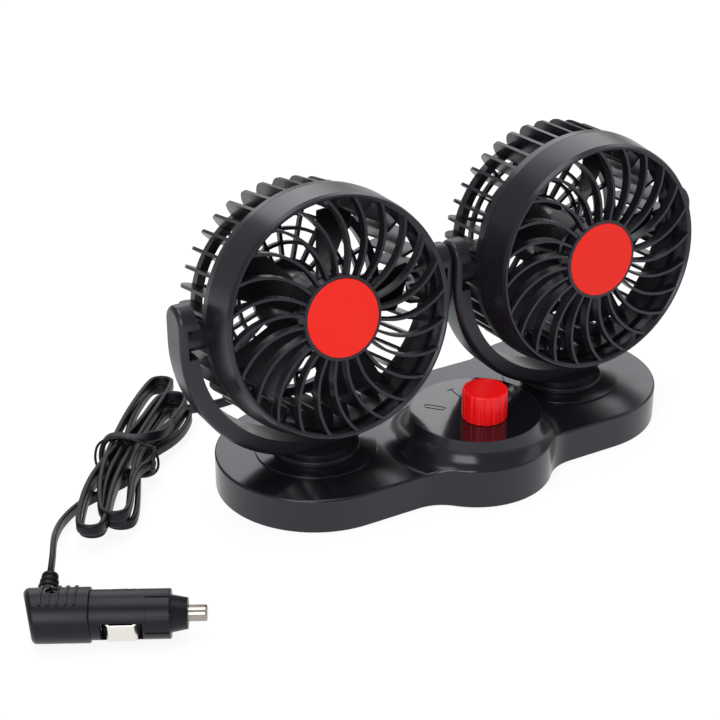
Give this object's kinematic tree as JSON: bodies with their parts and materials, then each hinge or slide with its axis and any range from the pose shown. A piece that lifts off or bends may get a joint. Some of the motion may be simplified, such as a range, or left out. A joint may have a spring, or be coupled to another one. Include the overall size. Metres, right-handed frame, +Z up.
{
  "type": "dual head car fan",
  "caption": "Dual head car fan: round caged heads in U-shaped yokes on a low lobed base with a speed knob and a coiled lead to a vehicle socket plug.",
  "frame": {"origin": "on the floor under the base, midway between the two swivel axes", "axes": "+Z up, +X along the base from the left head to the right head, -Y the way the heads face"},
  "size_m": [0.372, 0.1967, 0.1485],
  "materials": {
    "shell_plastic": "satin black moulded plastic",
    "gloss_black": "high gloss black plastic",
    "knob_red": "glossy red plastic",
    "badge_red": "bright red disc with a soft sheen",
    "cord_black": "soft black cord sheath",
    "pad_rubber": "soft black non-slip pad",
    "screw_steel": "zinc plated screws",
    "motor_steel": "drawn steel can",
    "contact_metal": "bright nickel plate",
    "magnet_ferrite": "dark ferrite",
    "bush_brass": "sintered bearing brass",
    "board_green": "green circuit board",
    "ceramic": "white ceramic",
    "switch_body": "dark switch housing",
    "blade_black": "black moulded blades",
    "fuse_glass": "clear glass fuse",
    "washer_nylon": "dark nylon washer"
  },
  "bodies": {
    "base": {"base_shell": "shell_plastic", "base_cover": "shell_plastic", "base_screws": "screw_steel", "base_pad": "pad_rubber", "dial_plate": "gloss_black", "speed_switch": "switch_body", "switch_nut": "screw_steel", "speed_board": "board_green", "speed_resistor": "ceramic", "cord_gland": "cord_black", "cord_run": "cord_black", "cord_hank": "cord_black", "cord_tie": "gloss_black", "cord_tail": "cord_black", "plug_body_top": "shell_plastic", "plug_body_bottom": "shell_plastic", "plug_screw": "screw_steel", "plug_collar": "shell_plastic", "plug_nose": "shell_plastic", "tip_spring": "screw_steel", "cord_boot": "cord_black"},
    "knob": {"speed_knob": "knob_red", "switch_shaft": "switch_body"},
    "plug_tip_body": {"plug_tip": "contact_metal", "plug_fuse": "fuse_glass"},
    "front_contact_body": {"front_contact": "contact_metal"},
    "back_contact_body": {"back_contact": "contact_metal"},
    "left_yoke_body": {"left_yoke": "shell_plastic", "left_swivel_washer": "screw_steel", "left_swivel_screw": "screw_steel", "left_tilt_washers": "washer_nylon"},
    "left_head": {"left_front_grille": "shell_plastic", "left_badge_disc": "badge_red", "left_rear_cage": "shell_plastic", "left_pivot_pins": "screw_steel", "left_motor_can": "motor_steel", "left_motor_end_cap": "switch_body", "left_motor_magnets": "magnet_ferrite", "left_motor_bushes": "bush_brass", "left_motor_screws": "screw_steel"},
    "left_fan": {"left_impeller": "blade_black", "left_motor_shaft": "screw_steel", "left_rotor": "motor_steel"},
    "right_yoke_body": {"right_yoke": "shell_plastic", "right_swivel_washer": "screw_steel", "right_swivel_screw": "screw_steel", "right_tilt_washers": "washer_nylon"},
    "right_head": {"right_front_grille": "shell_plastic", "right_badge_disc": "badge_red", "right_rear_cage": "shell_plastic", "right_pivot_pins": "screw_steel", "right_motor_can": "motor_steel", "right_motor_end_cap": "switch_body", "right_motor_magnets": "magnet_ferrite", "right_motor_bushes": "bush_brass", "right_motor_screws": "screw_steel"},
    "right_fan": {"right_impeller": "blade_black", "right_motor_shaft": "screw_steel", "right_rotor": "motor_steel"}
  },
  "joints": [
    {"name": "knob_turn", "type": "hinge", "parent": "base", "child": "knob", "pos_m": [0, -0.0355, 0.03], "axis": [0, 0, 1], "range_deg": [-82, 0]},
    {"name": "plug_tip_press", "type": "slide", "parent": "base", "child": "plug_tip_body", "axis": [-0.8805, 0.4741, 0], "range_m": [0, 0.003], "stiffness_N_per_m": 900, "springref_m": -0.002, "deforming": ["tip_spring"]},
    {"name": "front_contact_press", "type": "slide", "parent": "base", "child": "front_contact_body", "axis": [0.46, 0.8543, 0.2419], "range_m": [0, 0.001], "stiffness_N_per_m": 1500, "springref_m": -0.0005},
    {"name": "back_contact_press", "type": "slide", "parent": "base", "child": "back_contact_body", "axis": [-0.46, -0.8543, -0.2419], "range_m": [0, 0.001], "stiffness_N_per_m": 1500, "springref_m": -0.0005},
    {"name": "left_swivel", "type": "hinge", "parent": "base", "child": "left_yoke_body", "pos_m": [-0.0695, 0, 0.0178], "axis": [0, 0, 1], "range_deg": [-170, 170]},
    {"name": "left_tilt", "type": "hinge", "parent": "left_yoke_body", "child": "left_head", "pos_m": [-0.0695, 0, 0.0897], "axis": [-1, 0, 0], "range_deg": [-56, 33]},
    {"name": "left_blade_spin", "type": "hinge", "parent": "left_head", "child": "left_fan", "pos_m": [-0.0695, 0, 0.0897], "axis": [0, -0.9806, 0.1959], "continuous": true},
    {"name": "right_swivel", "type": "hinge", "parent": "base", "child": "right_yoke_body", "pos_m": [0.0695, 0, 0.0178], "axis": [0, 0, 1], "range_deg": [-170, 170]},
    {"name": "right_tilt", "type": "hinge", "parent": "right_yoke_body", "child": "right_head", "pos_m": [0.0695, 0, 0.0897], "axis": [-1, 0, 0], "range_deg": [-49, 41]},
    {"name": "right_blade_spin", "type": "hinge", "parent": "right_head", "child": "right_fan", "pos_m": [0.0695, 0, 0.0897], "axis": [0, -0.9976, 0.0698], "continuous": true}
  ]
}
